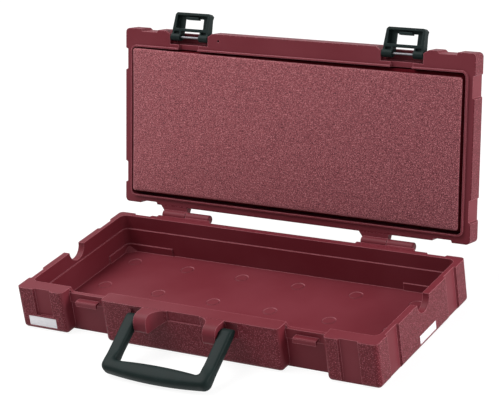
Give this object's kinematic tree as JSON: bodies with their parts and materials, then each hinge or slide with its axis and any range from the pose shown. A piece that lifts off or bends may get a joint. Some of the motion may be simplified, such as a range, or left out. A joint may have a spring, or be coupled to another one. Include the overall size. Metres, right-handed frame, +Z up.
{
  "type": "tool case",
  "caption": "Shallow moulded tool case lying open: tray with side notches, foam-padded lid on knuckle hinges, windowed snap latches and a swinging front handle.",
  "frame": {"origin": "centre of the tray's footprint, on the surface the case stands on", "axes": "+X along the front to the right, +Y from the handle to the hinges, +Z up"},
  "size_m": [0.4, 0.3258, 0.2452],
  "materials": {
    "case_plastic": "maroon moulded polyethylene, leather grain outside, satin inside",
    "foam": "dusty red open-cell foam",
    "dark_plastic": "dark green-grey moulded plastic, satin",
    "steel": "bright drawn pin",
    "label": "blank white plate, satin"
  },
  "bodies": {
    "tray": {"tray_shell": "case_plastic", "hinge_pin_left": "steel", "hinge_pin_right": "steel"},
    "lid": {"lid_shell": "case_plastic", "lid_foam": "foam", "latch_pin_left": "steel", "latch_pin_right": "steel"},
    "latch_l": {"latch_left": "dark_plastic"},
    "latch_r": {"latch_right": "dark_plastic"},
    "carry_handle": {"handle": "dark_plastic"}
  },
  "joints": [
    {"name": "lid_hinge", "type": "hinge", "parent": "tray", "child": "lid", "pos_m": [0, 0.1003, 0.0438], "axis": [1, 0, 0], "range_deg": [0, 105]},
    {"name": "latch_left_pivot", "type": "hinge", "parent": "lid", "child": "latch_l", "pos_m": [-0.122, 0.15235, 0.22221], "axis": [1, 0, 0], "range_deg": [0, 102]},
    {"name": "latch_right_pivot", "type": "hinge", "parent": "lid", "child": "latch_r", "pos_m": [0.122, 0.15235, 0.22221], "axis": [1, 0, 0], "range_deg": [0, 102]},
    {"name": "handle_pivot", "type": "hinge", "parent": "tray", "child": "carry_handle", "pos_m": [-0.004, -0.1005, 0.0355], "axis": [-1, 0, 0], "range_deg": [0, 120]}
  ]
}
